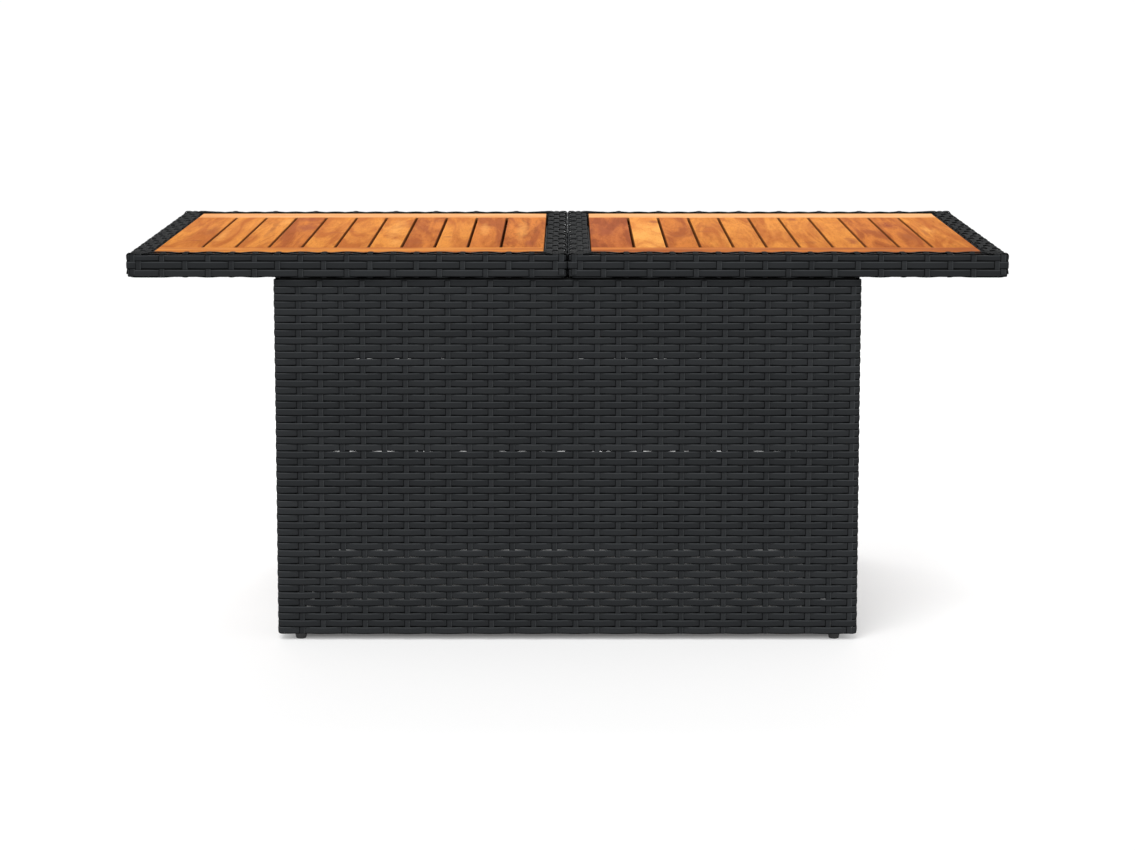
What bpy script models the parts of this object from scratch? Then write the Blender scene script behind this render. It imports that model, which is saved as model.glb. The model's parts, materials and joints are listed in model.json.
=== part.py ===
"""Garden coffee table: a hollow woven box base carrying two square slatted tops.

Metres, +Z up. The floor is z = 0, the long side runs along X and the front faces -Y.
Each top half is a welded steel ring wrapped in woven strand, with a panel of hardwood
slats lying on the ring's shelf. The base is a steel frame inside one woven skin, and
four levelling feet screw into its bottom rails.
"""
import math

import bmesh
import bpy

# Whole table
LENGTH = 1.000
DEPTH = 0.500
HEIGHT = 0.450
FIT_GAP = 0.0003            # clearance left between neighbouring pieces

# Rim of each top half: woven wrapping round a steel tube ring
SEAM_GAP = 0.001
RIM_WIDTH = 0.025
RIM_HEIGHT = 0.028
RIM_WALL = 0.0025
RIM_EDGE_RADIUS = 0.004
RING_WALL = 0.0012
SHELF_THICKNESS = 0.002
SHELF_REACH = 0.012         # how far the shelf runs in under the boards

# Boards
BOARD_THICKNESS = 0.015
BOARD_DROP = 0.0015         # boards lie this far below the rim's top
BOARD_MARGIN = 0.0015       # gap round the panel, to the rim
RAIL_BOARD_WIDTH = 0.050
SLAT_COUNT = 9
SLAT_WIDTH = 0.0361
SLAT_GAP = 0.00235
TONGUE_LENGTH = 0.010
TONGUE_THICKNESS = 0.006
BOARD_BEVEL = 0.0008

# Base
BASE_LENGTH = 0.6705
BASE_DEPTH = 0.490
WEAVE_WALL = 0.0035
WEAVE_BOTTOM = 0.0075
WEAVE_TOP = 0.418
WEAVE_CORNER_RADIUS = 0.008
TUBE_SIZE = 0.020
TUBE_WALL = 0.0012
TUBE_CORNER_RADIUS = 0.0035
TUBE_CLEARANCE = 0.0005     # between the tubes and the woven skin
FRAME_BOTTOM = 0.0105
RAIL_END_INSET = 0.0044     # long rails stop where the skin's corners start to curve
UPRIGHT_X = 0.282           # the two uprights behind the front wall

# Levelling feet
FOOT_X = 0.3085
FOOT_RADIUS_TOP = 0.0077
FOOT_RADIUS_BOTTOM = 0.0060
FOOT_EDGE_RADIUS = 0.0010
STUD_RADIUS = 0.0030
STUD_LENGTH = 0.0143
STUD_CLEARANCE = 0.0003

# Bolts that hold the top halves to the base
BOLT_Y = 0.2325
BOLT_RADIUS = 0.0025
BOLT_CLEARANCE = 0.0003
BOLT_HEAD_RADIUS = 0.0048
BOLT_HEAD_HEIGHT = 0.0035
BOLT_REACH = 0.012          # how far the bolt runs up inside the ring

ARC_STEPS = 3
ROUND_STEPS = 24

# Derived levels and places
RIM_BOTTOM = HEIGHT - RIM_HEIGHT
HALF_LENGTH = (LENGTH - SEAM_GAP) / 2
HALF_CENTRE_X = (LENGTH + SEAM_GAP) / 4
BOARD_TOP = HEIGHT - BOARD_DROP
BOARD_BOTTOM = BOARD_TOP - BOARD_THICKNESS
SHELF_TOP = BOARD_BOTTOM - FIT_GAP
SHELF_BOTTOM = SHELF_TOP - SHELF_THICKNESS
PANEL_LENGTH = HALF_LENGTH - 2 * (RIM_WIDTH + BOARD_MARGIN)
PANEL_DEPTH = DEPTH - 2 * (RIM_WIDTH + BOARD_MARGIN)
STILE_WIDTH = (PANEL_LENGTH - SLAT_COUNT * SLAT_WIDTH - (SLAT_COUNT + 1) * SLAT_GAP) / 2
FRAME_TOP = RIM_BOTTOM - FIT_GAP
FRAME_X = BASE_LENGTH / 2 - WEAVE_WALL - TUBE_CLEARANCE
FRAME_Y = BASE_DEPTH / 2 - WEAVE_WALL - TUBE_CLEARANCE
RAIL_Y = FRAME_Y - TUBE_SIZE / 2
SIDE_RAIL_X = FRAME_X - TUBE_SIZE / 2

SIDES = (("left", -1), ("right", 1))
ENDS = (("front", -1), ("back", 1))


# ---------------------------------------------------------------- scene helpers

def clear_scene():
    for obj in list(bpy.data.objects):
        bpy.data.objects.remove(obj, do_unlink=True)


def make_material(name, colour, roughness, metallic=0.0):
    material = bpy.data.materials.new(name)
    material.use_nodes = True
    shader = material.node_tree.nodes["Principled BSDF"]
    shader.inputs["Base Color"].default_value = (*colour, 1.0)
    shader.inputs["Roughness"].default_value = roughness
    shader.inputs["Metallic"].default_value = metallic
    return material


def make_mesh(name, points, faces, cavity_faces=0):
    """Closed mesh with its faces pointing out; the last cavity_faces line a hollow inside it."""
    mesh = bpy.data.meshes.new(name)
    mesh.from_pydata(points, [], faces)
    body = bmesh.new()
    body.from_mesh(mesh)
    bmesh.ops.recalc_face_normals(body, faces=body.faces)
    body.faces.ensure_lookup_table()
    bmesh.ops.reverse_faces(body, faces=body.faces[len(faces) - cavity_faces:])
    body.to_mesh(mesh)
    body.free()
    return mesh


def place(name, mesh, material, location=(0, 0, 0), parent=None):
    obj = bpy.data.objects.new(name, mesh)
    bpy.context.scene.collection.objects.link(obj)
    if not mesh.materials:
        mesh.materials.append(None)
    obj.material_slots[0].link = "OBJECT"
    obj.material_slots[0].material = material
    obj.location = location
    obj.parent = parent
    return obj


def add_empty(name, location):
    empty = bpy.data.objects.new(name, None)
    bpy.context.scene.collection.objects.link(empty)
    empty.location = location
    return empty


def shade_round(mesh):
    mesh.shade_smooth()
    mesh.set_sharp_from_angle(angle=math.radians(35))
    return mesh


def bevel_edges(obj, width):
    bevel = obj.modifiers.new("edge_bevel", "BEVEL")
    bevel.width = width
    bevel.segments = 1
    bevel.limit_method = "ANGLE"
    bevel.angle_limit = math.radians(40)


def drill(obj, x, y, z_low, z_high, radius, parent=None):
    """Cut an upright round hole, with a hidden cylinder, through one piece."""
    ring = [(radius * math.cos(a), radius * math.sin(a)) for a in circle_angles(ROUND_STEPS)]
    mesh = prism_mesh(obj.name + "_hole", ring, z_low, z_high)
    cutter = bpy.data.objects.new(obj.name + "_hole", mesh)
    bpy.context.scene.collection.objects.link(cutter)
    cutter.location = (x, y, 0)
    cutter.parent = parent
    cutter.hide_render = True
    cutter.display_type = "WIRE"
    cut = obj.modifiers.new("hole", "BOOLEAN")
    cut.operation = "DIFFERENCE"
    cut.object = cutter


# ---------------------------------------------------------------- outlines

def circle_angles(steps):
    return [2 * math.pi * i / steps for i in range(steps)]


def arc(centre_x, centre_y, radius, start_degrees, steps=ARC_STEPS):
    """Quarter turn, anticlockwise from the start angle, both ends included."""
    points = []
    for i in range(steps + 1):
        angle = math.radians(start_degrees + 90 * i / steps)
        points.append((centre_x + radius * math.cos(angle), centre_y + radius * math.sin(angle)))
    return points


def rounded_rectangle(half_x, half_y, radius):
    inner_x = half_x - radius
    inner_y = half_y - radius
    outline = arc(inner_x, inner_y, radius, 0)
    outline += arc(-inner_x, inner_y, radius, 90)
    outline += arc(-inner_x, -inner_y, radius, 180)
    outline += arc(inner_x, -inner_y, radius, 270)
    return outline


def rim_outline():
    """Section of the rim wrapping as (distance in from the outer face, height).

    It is an open C: the ring's shelf comes out through the slit in its inner wall.
    """
    wall = RIM_WALL
    radius = RIM_EDGE_RADIUS
    outline = [(RIM_WIDTH, RIM_BOTTOM), (RIM_WIDTH, SHELF_BOTTOM - FIT_GAP)]
    outline += [(RIM_WIDTH - wall, SHELF_BOTTOM - FIT_GAP), (RIM_WIDTH - wall, RIM_BOTTOM + wall)]
    outline += [(wall, RIM_BOTTOM + wall), (wall, HEIGHT - wall)]
    outline += [(RIM_WIDTH - wall, HEIGHT - wall), (RIM_WIDTH - wall, BOARD_BOTTOM)]
    outline += [(RIM_WIDTH, BOARD_BOTTOM)]
    outline += arc(RIM_WIDTH - radius, HEIGHT - radius, radius, 0)
    outline += arc(radius, HEIGHT - radius, radius, 90)
    outline += arc(radius, RIM_BOTTOM + radius, radius, 180)
    return outline


# ---------------------------------------------------------------- solids

def prism_mesh(name, outline, low, high):
    """Upright prism over an outline in X and Y."""
    count = len(outline)
    points = [(x, y, low) for x, y in outline] + [(x, y, high) for x, y in outline]
    faces = [tuple(range(count)), tuple(range(count, 2 * count))]
    faces += [(i, (i + 1) % count, count + (i + 1) % count, count + i) for i in range(count)]
    return make_mesh(name, points, faces)


def along_x_mesh(name, section, x_low, x_high):
    """Bar along X over a section in Y and Z."""
    count = len(section)
    points = [(x_low, y, z) for y, z in section] + [(x_high, y, z) for y, z in section]
    faces = [tuple(range(count)), tuple(range(count, 2 * count))]
    faces += [(i, (i + 1) % count, count + (i + 1) % count, count + i) for i in range(count)]
    return make_mesh(name, points, faces)


def sleeve_mesh(name, outer, inner, low, high, to_point):
    """Open-ended sleeve between two outlines with the same number of points.

    to_point turns an outline point and a place along the sleeve into X, Y, Z.
    """
    count = len(outer)
    points = []
    for level in (low, high):
        points += [to_point(a, b, level) for a, b in outer]
        points += [to_point(a, b, level) for a, b in inner]
    faces = []
    for i in range(count):
        j = (i + 1) % count
        outer_low, outer_low_next = i, j
        inner_low, inner_low_next = count + i, count + j
        outer_high, outer_high_next = 2 * count + i, 2 * count + j
        inner_high, inner_high_next = 3 * count + i, 3 * count + j
        faces.append((outer_low, outer_low_next, outer_high_next, outer_high))
        faces.append((inner_low, inner_low_next, inner_high_next, inner_high))
        faces.append((outer_low, outer_low_next, inner_low_next, inner_low))
        faces.append((outer_high, outer_high_next, inner_high_next, inner_high))
    return make_mesh(name, points, faces)


def tube_mesh(name, axis, length):
    """Square tube with rounded corners, centred on its own origin."""
    half = TUBE_SIZE / 2
    outer = rounded_rectangle(half, half, TUBE_CORNER_RADIUS)
    inner = rounded_rectangle(half - TUBE_WALL, half - TUBE_WALL, TUBE_CORNER_RADIUS - TUBE_WALL)
    turn = {"X": lambda a, b, t: (t, a, b), "Y": lambda a, b, t: (a, t, b), "Z": lambda a, b, t: (a, b, t)}
    return shade_round(sleeve_mesh(name, outer, inner, -length / 2, length / 2, turn[axis]))


def revolved_mesh(name, profile):
    """Solid of revolution about Z from (radius, height) points, bottom to top."""
    angles = circle_angles(ROUND_STEPS)
    points = [(r * math.cos(a), r * math.sin(a), z) for r, z in profile for a in angles]
    faces = [tuple(range(ROUND_STEPS))]
    for ring in range(len(profile) - 1):
        start = ring * ROUND_STEPS
        for i in range(ROUND_STEPS):
            j = (i + 1) % ROUND_STEPS
            faces.append((start + i, start + j, start + ROUND_STEPS + j, start + ROUND_STEPS + i))
    last = (len(profile) - 1) * ROUND_STEPS
    faces.append(tuple(range(last, last + ROUND_STEPS)))
    return shade_round(make_mesh(name, points, faces))


def loop_corners(inset):
    """Corners of one top half's outline, moved inwards, anticlockwise from front left."""
    x = HALF_LENGTH / 2 - inset
    y = DEPTH / 2 - inset
    return [(-x, -y), (x, -y), (x, y), (-x, y)]


def loop_skin(section, first_index):
    """Points and faces of a section carried round the half's outline, with no ends."""
    count = len(section)
    points = []
    for corner in range(4):
        for inset, z in section:
            x, y = loop_corners(inset)[corner]
            points.append((x, y, z))
    faces = []
    for corner in range(4):
        here = first_index + corner * count
        there = first_index + (corner + 1) % 4 * count
        for i in range(count):
            j = (i + 1) % count
            faces.append((here + i, here + j, there + j, there + i))
    return points, faces


# ---------------------------------------------------------------- top halves

def rim_side_mesh(name, side):
    """One straight, mitred length of rim wrapping. Sides: 0 front, 1 right, 2 back, 3 left."""
    section = rim_outline()
    count = len(section)
    points = []
    for corner, pull in ((side, 1), ((side + 1) % 4, -1)):
        for inset, z in section:
            x, y = loop_corners(inset)[corner]
            shift = pull * FIT_GAP
            if side in (0, 2):
                x += shift if side == 0 else -shift
            else:
                y += shift if side == 1 else -shift
            points.append((x, y, z))
    faces = [tuple(range(count)), tuple(range(count, 2 * count))]
    faces += [(i, (i + 1) % count, count + (i + 1) % count, count + i) for i in range(count)]
    return make_mesh(name, points, faces)


def ring_mesh(name):
    """Welded steel ring inside the rim: a rectangular tube with a shelf for the boards."""
    outer_face = RIM_WALL + FIT_GAP
    inner_face = RIM_WIDTH - RIM_WALL - FIT_GAP
    low = RIM_BOTTOM + RIM_WALL + FIT_GAP
    high = HEIGHT - RIM_WALL - FIT_GAP
    shelf_edge = RIM_WIDTH + SHELF_REACH
    outside = [(outer_face, low), (inner_face, low), (inner_face, SHELF_BOTTOM)]
    outside += [(shelf_edge, SHELF_BOTTOM), (shelf_edge, SHELF_TOP), (inner_face, SHELF_TOP)]
    outside += [(inner_face, high), (outer_face, high)]
    wall = RING_WALL
    cavity = [(outer_face + wall, low + wall), (inner_face - wall, low + wall)]
    cavity += [(inner_face - wall, high - wall), (outer_face + wall, high - wall)]
    points, faces = loop_skin(outside, 0)
    cavity_points, cavity_faces = loop_skin(cavity, len(points))
    return make_mesh(name, points + cavity_points, faces + cavity_faces, len(cavity_faces))


def slat_section():
    """Slat or stile seen from its side, in Y and Z, with a tongue at each end."""
    half = PANEL_DEPTH / 2 - RAIL_BOARD_WIDTH - FIT_GAP
    tip = half + TONGUE_LENGTH
    middle = (BOARD_TOP + BOARD_BOTTOM) / 2
    low = middle - TONGUE_THICKNESS / 2
    high = middle + TONGUE_THICKNESS / 2
    right = [(half, BOARD_BOTTOM), (half, low), (tip, low), (tip, high), (half, high), (half, BOARD_TOP)]
    left = [(-y, z) for y, z in reversed(right)]
    return right + left


def rail_board_section(direction):
    """Front or back board in Y and Z, grooved along its inner edge for the tongues."""
    outer = PANEL_DEPTH / 2
    inner = outer - RAIL_BOARD_WIDTH
    groove = inner + TONGUE_LENGTH + FIT_GAP
    middle = (BOARD_TOP + BOARD_BOTTOM) / 2
    low = middle - TONGUE_THICKNESS / 2 - FIT_GAP
    high = middle + TONGUE_THICKNESS / 2 + FIT_GAP
    section = [(outer, BOARD_BOTTOM), (outer, BOARD_TOP), (inner, BOARD_TOP), (inner, high)]
    section += [(groove, high), (groove, low), (inner, low), (inner, BOARD_BOTTOM)]
    return [(direction * y, z) for y, z in section]


def build_rim(half_name, direction, parent, materials):
    outer_side = "right" if direction > 0 else "left"
    names = {"front": 0, "right": 1, "back": 2, "left": 3}
    for side_name, side in names.items():
        if side_name in ("front", "back"):
            label = side_name
        else:
            label = "outer" if side_name == outer_side else "inner"
        mesh = rim_side_mesh("rim_" + side_name, side)
        obj = place(f"{half_name}_rim_weave_{label}", mesh, materials["weave"], parent=parent)
        if side_name in ("front", "back"):
            y = BOLT_Y if side_name == "back" else -BOLT_Y
            hole = BOLT_RADIUS + BOLT_CLEARANCE
            drill(obj, 0, y, RIM_BOTTOM - RIM_WALL, RIM_BOTTOM + 2 * RIM_WALL, hole, parent)


def build_ring(half_name, parent, materials):
    ring = place(f"{half_name}_top_frame", ring_mesh("ring"), materials["steel"], parent=parent)
    low = RIM_BOTTOM + RIM_WALL
    for _, direction in ENDS:
        hole = BOLT_RADIUS + BOLT_CLEARANCE
        drill(ring, 0, direction * BOLT_Y, low - RING_WALL, low + 3 * RING_WALL, hole, parent)


def build_boards(half_name, direction, parent, materials):
    half_panel = PANEL_LENGTH / 2
    for end_name, end in ENDS:
        mesh = along_x_mesh("rail_board", rail_board_section(end), -half_panel, half_panel)
        board = place(f"{half_name}_rail_board_{end_name}", mesh, materials["wood_light"], parent=parent)
        bevel_edges(board, BOARD_BEVEL)
    stile = along_x_mesh("stile", slat_section(), -STILE_WIDTH / 2, STILE_WIDTH / 2)
    for label, side in (("outer", direction), ("inner", -direction)):
        x = side * (half_panel - STILE_WIDTH / 2)
        board = place(f"{half_name}_stile_{label}", stile, materials["wood_dark"], (x, 0, 0), parent)
        bevel_edges(board, BOARD_BEVEL)
    slat = along_x_mesh("slat", slat_section(), -SLAT_WIDTH / 2, SLAT_WIDTH / 2)
    for number in range(SLAT_COUNT):
        x = (number - (SLAT_COUNT - 1) / 2) * (SLAT_WIDTH + SLAT_GAP)
        tone = "wood_light" if number % 2 else "wood_dark"
        board = place(f"{half_name}_slat_{number + 1}", slat, materials[tone], (x, 0, 0), parent)
        bevel_edges(board, BOARD_BEVEL)


def build_top_half(half_name, direction, materials):
    parent = add_empty(half_name + "_half", (direction * HALF_CENTRE_X, 0, 0))
    build_ring(half_name, parent, materials)
    build_rim(half_name, direction, parent, materials)
    build_boards(half_name, direction, parent, materials)


def build_bolts(materials):
    """Bolts up through the base's top rails and the rim into each ring."""
    rail_bottom = FRAME_TOP - TUBE_SIZE
    seat = rail_bottom - FIT_GAP
    tip = RIM_BOTTOM + BOLT_REACH
    head_low = seat - BOLT_HEAD_HEIGHT
    chamfer = BOLT_RADIUS * 0.2
    profile = [(BOLT_HEAD_RADIUS - chamfer, head_low), (BOLT_HEAD_RADIUS, head_low + chamfer)]
    profile += [(BOLT_HEAD_RADIUS, seat), (BOLT_RADIUS, seat)]
    profile += [(BOLT_RADIUS, tip - chamfer), (BOLT_RADIUS - chamfer, tip)]
    mesh = revolved_mesh("bolt", profile)
    for side_name, side in SIDES:
        for end_name, end in ENDS:
            location = (side * HALF_CENTRE_X, end * BOLT_Y, 0)
            place(f"top_bolt_{end_name}_{side_name}", mesh, materials["zinc"], location)


# ---------------------------------------------------------------- base

def build_base_weave(materials):
    outer = rounded_rectangle(BASE_LENGTH / 2, BASE_DEPTH / 2, WEAVE_CORNER_RADIUS)
    inner_x = BASE_LENGTH / 2 - WEAVE_WALL
    inner_y = BASE_DEPTH / 2 - WEAVE_WALL
    inner = rounded_rectangle(inner_x, inner_y, WEAVE_CORNER_RADIUS - WEAVE_WALL)
    mesh = sleeve_mesh("base_weave", outer, inner, WEAVE_BOTTOM, WEAVE_TOP, lambda a, b, t: (a, b, t))
    place("base_weave", shade_round(mesh), materials["weave"])


def build_rails(materials):
    """Two rings of rails: long ones at front and back, short ones between them."""
    long_rail = 2 * (FRAME_X - RAIL_END_INSET + TUBE_CLEARANCE)
    short_rail = 2 * (FRAME_Y - TUBE_SIZE - FIT_GAP)
    half = TUBE_SIZE / 2
    for level_name, z in (("bottom", FRAME_BOTTOM + half), ("top", FRAME_TOP - half)):
        for end_name, end in ENDS:
            mesh = tube_mesh("long_rail", "X", long_rail)
            rail = place(f"base_{level_name}_rail_{end_name}", mesh, materials["steel"], (0, end * RAIL_Y, z))
            for _, side in SIDES:
                if level_name == "bottom":
                    drill(rail, side * FOOT_X, end * RAIL_Y, z - TUBE_SIZE, z, STUD_RADIUS + STUD_CLEARANCE)
                    continue
                radius = BOLT_RADIUS + BOLT_CLEARANCE
                drill(rail, side * HALF_CENTRE_X, end * BOLT_Y, z - TUBE_SIZE, z + TUBE_SIZE, radius)
        for side_name, side in SIDES:
            mesh = tube_mesh("short_rail", "Y", short_rail)
            place(f"base_{level_name}_rail_{side_name}", mesh, materials["steel"], (side * SIDE_RAIL_X, 0, z))


def build_posts(materials):
    """Corner posts and the two front uprights, standing between the rings of rails."""
    low = FRAME_BOTTOM + TUBE_SIZE + FIT_GAP
    high = FRAME_TOP - TUBE_SIZE - FIT_GAP
    mesh = tube_mesh("post", "Z", high - low)
    z = (low + high) / 2
    for side_name, side in SIDES:
        for end_name, end in ENDS:
            location = (side * SIDE_RAIL_X, end * RAIL_Y, z)
            place(f"base_post_{end_name}_{side_name}", mesh, materials["steel"], location)
        place(f"base_upright_{side_name}", mesh, materials["steel"], (side * UPRIGHT_X, -RAIL_Y, z))


def build_feet(materials):
    """Tapered plastic heads on threaded studs; each one's origin is on its own axis."""
    head_top = FRAME_BOTTOM - FIT_GAP
    edge = FOOT_EDGE_RADIUS
    profile = [(FOOT_RADIUS_BOTTOM - edge, 0)]
    for i in range(1, ARC_STEPS + 1):
        angle = math.radians(90 * i / ARC_STEPS)
        profile.append((FOOT_RADIUS_BOTTOM - edge + edge * math.sin(angle), edge * (1 - math.cos(angle))))
    profile += [(FOOT_RADIUS_TOP, head_top - edge), (FOOT_RADIUS_TOP - edge / 2, head_top)]
    profile += [(STUD_RADIUS, head_top), (STUD_RADIUS, head_top + STUD_LENGTH - edge)]
    profile += [(STUD_RADIUS - edge, head_top + STUD_LENGTH)]
    mesh = revolved_mesh("foot", profile)
    for side_name, side in SIDES:
        for end_name, end in ENDS:
            location = (side * FOOT_X, end * RAIL_Y, 0)
            place(f"foot_{end_name}_{side_name}", mesh, materials["plastic"], location)


def build_table():
    clear_scene()
    materials = {
        "weave": make_material("woven_resin", (0.030, 0.032, 0.034), 0.45),
        "steel": make_material("powder_coated_steel", (0.020, 0.020, 0.021), 0.5, 0.3),
        "wood_light": make_material("hardwood_light", (0.62, 0.31, 0.10), 0.5),
        "wood_dark": make_material("hardwood_dark", (0.47, 0.20, 0.06), 0.5),
        "plastic": make_material("foot_plastic", (0.015, 0.015, 0.015), 0.5),
        "zinc": make_material("zinc_plate", (0.60, 0.60, 0.58), 0.35, 1.0),
    }
    build_base_weave(materials)
    build_rails(materials)
    build_posts(materials)
    build_feet(materials)
    for side_name, side in SIDES:
        build_top_half(side_name, side, materials)
    build_bolts(materials)


build_table()
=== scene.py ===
"""The looks of the woven garden coffee table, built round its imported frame.

Metres, +Z up, front at -Y. The woven skins are real interlaced strands: every strand is
swept along its own path and passes over and under the strands that cross it.
"""
import json
import math

import bmesh
import bpy
import numpy as np
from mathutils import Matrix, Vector


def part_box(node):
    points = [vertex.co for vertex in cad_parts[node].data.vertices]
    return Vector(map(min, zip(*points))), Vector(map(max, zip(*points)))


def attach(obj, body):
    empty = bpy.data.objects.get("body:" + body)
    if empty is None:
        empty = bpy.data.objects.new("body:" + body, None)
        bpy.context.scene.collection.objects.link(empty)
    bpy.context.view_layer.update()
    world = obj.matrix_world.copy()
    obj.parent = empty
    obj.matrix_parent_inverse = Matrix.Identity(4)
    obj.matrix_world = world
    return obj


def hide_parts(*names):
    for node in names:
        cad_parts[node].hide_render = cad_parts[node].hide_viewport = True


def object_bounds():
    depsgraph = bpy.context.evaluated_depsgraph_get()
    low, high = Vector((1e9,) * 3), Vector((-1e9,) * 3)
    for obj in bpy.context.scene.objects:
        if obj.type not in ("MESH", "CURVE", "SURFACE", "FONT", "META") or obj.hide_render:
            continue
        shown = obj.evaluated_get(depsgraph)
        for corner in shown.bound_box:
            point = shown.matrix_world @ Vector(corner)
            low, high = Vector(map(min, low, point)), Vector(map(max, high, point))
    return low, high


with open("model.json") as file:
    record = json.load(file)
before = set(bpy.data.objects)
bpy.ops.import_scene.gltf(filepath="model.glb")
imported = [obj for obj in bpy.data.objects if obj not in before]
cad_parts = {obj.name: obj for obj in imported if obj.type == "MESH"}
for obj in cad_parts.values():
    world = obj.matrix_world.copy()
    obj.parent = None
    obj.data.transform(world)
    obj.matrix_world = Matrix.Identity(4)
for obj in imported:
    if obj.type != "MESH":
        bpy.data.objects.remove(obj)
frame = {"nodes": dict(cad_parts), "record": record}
CAD_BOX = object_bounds()

MM = 0.001
UP = np.array([0.0, 0.0, 1.0])
HALVES = ("left", "right")
RIM_SIDES = ("front", "back", "outer", "inner")

# Strand of the woven skins: flat, with a slightly crowned face
STRAND_THICKNESS = 1.3 * MM
STRAND_SECTION = (
    (1.0, 0.0), (0.92, 0.32), (0.62, 0.52), (0.0, 0.60), (-0.62, 0.52),
    (-0.92, 0.32), (-1.0, 0.0), (-0.88, -0.40), (0.88, -0.40),
)  # across in half widths, then out from the skin in thicknesses
ARC_STATIONS = 6                  # steps round a rounded corner
SHORTEST_STEP = 0.4 * MM
CORNER_REACH = 6.0 * MM           # how far past a rounded corner its effect on a strand fades out
STRAND_SEED = 11

# Base skin
BASE_ROWS = 50
BASE_STRAND_WIDTH = 8.12 * MM
BASE_CORNER_STRAND = 8.18 * MM    # strands are pressed flat and close where they turn a corner
BASE_WARP_WIDTH = 6.5 * MM
BASE_SKIN_DEPTH = 1.75 * MM       # middle of the skin, in from its outer face
BASE_SKIN_RISE = 1.5 * MM         # the top row comes this much nearer to the rims
WEFT_SWING = 0.95 * MM            # how far a row swings out and in as it passes the uprights
WARP_SWING = 0.45 * MM            # the same for an upright as it passes the rows
CORNER_CALM = 0.9                 # share of a row's swing that is lost in the corners
SWING_SPREAD = 0.05               # how much the rows differ: in swing and width, as shares,
WIDTH_SPREAD = 0.012
LEVEL_SPREAD = 0.06 * MM          # and in level
LEVEL_WAVES = (5, 9)              # fewest and most rises and falls of a row round the base
STEPS_PER_WARP = 4
STEP_SLACK = 1.01                 # keeps rounding from adding a step
STEPS_PER_ROW = 4
BASE_CORNER_RADIUS = 8.0 * MM
# Uprights on each side: how many, then how far the first and last stand from the corners.
# Their total is even, so that the rows alternate all the way round.
BASE_WARPS = {
    "front": (27, 29.0 * MM, 10.5 * MM),
    "right": (20, 14.2 * MM, 14.2 * MM),
    "back": (27, 19.8 * MM, 19.8 * MM),
    "left": (20, 14.2 * MM, 14.2 * MM),
}
WARP_TOP_GAP = 1.0 * MM
WARP_BEND = 1.6 * MM              # radius of the fold at an upright's foot
WARP_TUCK = 7.0 * MM              # how far an upright folds in under the bottom rail
SKIN_SHARES = 2                   # the rows, and the uprights, are shared between this many meshes

# Rim skin
RIM_WIDTH = 25.0 * MM
RIM_SWING = 0.75 * MM
RIM_SKIN_DEPTH = 1.4 * MM         # middle of the skin, in from its outer face
RIM_EDGE_RADIUS = 3.2 * MM        # of the long edges of the rim's section
RIM_PLAN_RADIUS = 5.0 * MM        # of the rim's corners seen from above, on its outer face,
RIM_UNDER_RADIUS = 4.4 * MM       # along its bottom
RIM_INNER_RADIUS = 3.0 * MM       # and on its inner face
RIM_ROW_STEP = 5.5 * MM           # longest step along a lengthwise strand
RIM_WRAP_STEP = 2.8 * MM          # longest step along a wrap
# Rows down the outer face: middle, measured down from the rim's top, and width
RIM_FACE_ROWS = ((5.35 * MM, 6.6 * MM), (13.5 * MM, 8.6 * MM), (22.7 * MM, 8.3 * MM))
RIM_TOP_INSETS = (7.0 * MM, 14.0 * MM, 20.8 * MM)   # of the top strands, in from the edge
RIM_TOP_STRAND = 6.4 * MM
RIM_INNER_STRAND = 6.6 * MM
RIM_INNER_GAP = 0.6 * MM          # between the two rows above the shelf
RIM_FOLD_TRIM = 2.6 * MM          # a folded-over strand ends this much above the rim's bottom
RIM_LANE_TRIM = 1.5 * MM          # the innermost top strand ends this much short of the corners
RIM_WRAP_WIDTH = 6.6 * MM
RIM_WRAP_LIFT = 0.8 * MM          # extra height of a wrap where it passes over the outermost top strand
RIM_EDGE_DROP = 0.8 * MM          # the top face falls away this much along its outer edge
RIM_DROP_FROM = 11.5 * MM         # the fall starts this far in from the edge
RIM_DROP_TO = 7.5 * MM            # and ends here
RIM_FIRST_WRAP = 40.5 * MM        # from each corner
RIM_WRAPS = 17                    # on each side of a rim
SEAM_LEAN = 0.36 * MM             # the two rims' skins bulge towards each other at the seam
SHELF_GAP = 0.3 * MM              # between the ring's shelf and the boards on it
SHELF_THICKNESS = 2.0 * MM
SHELF_MARGIN = 0.5 * MM           # between the shelf and the strands above and below it

# Boards
BOARD_EDGE = 0.8 * MM             # rounding of the long arrises
BOARD_TRIM = 0.4 * MM             # shaved off each long side of the slats
TONGUE_LENGTH = 10.0 * MM
TONGUE_HALF = 3.0 * MM
GROOVE_DEPTH = 10.3 * MM
GROOVE_HALF = 3.3 * MM
SHARP_ANGLE = math.radians(50)

# Studio
SKY_LEVELS = ((0.08, 1.0), (0.18, 0.83), (0.40, 0.50))   # height (0 horizon, 1 overhead), brightness
FLOOR_SIZE = 120.0
FLOOR_TONE = 0.58
FLOOR_GLOW = 0.42
FLOOR_GLOW_PAINTED_SHADOW = 0.12          # on the patch of floor that the hollow base stands round: a painted shadow, the glow turned down under the base
FLOOR_PATCH_EDGE = (0.90, 0.98)   # where that patch fades out, as shares of the base's outline
KEY_FROM = (-0.25, -0.58, 0.78)
KEY_STRENGTH = 2.1
KEY_SOFTNESS = math.radians(40.0)
BACK_LIGHT_PLACE = (0.0, 1.5, 1.7)
BACK_LIGHT_TARGET = (0.0, 0.1, CAD_BOX[1].z)
BACK_LIGHT_SIZE = (2.4, 1.2)
BACK_LIGHT_POWER = 42.0
CAMERA_PLACE = (0.0, -3.3696, 0.8043)
CAMERA_TILT = math.radians(90 - 7.685)   # 0 looks straight down
CAMERA_LENS = 88.06
CAMERA_SENSOR = 36.0
CAMERA_SHIFT = -0.10
CAMERA_REACH = 200.0              # far enough to see the floor's edge


# ---------------------------------------------------------------- node helpers

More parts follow.
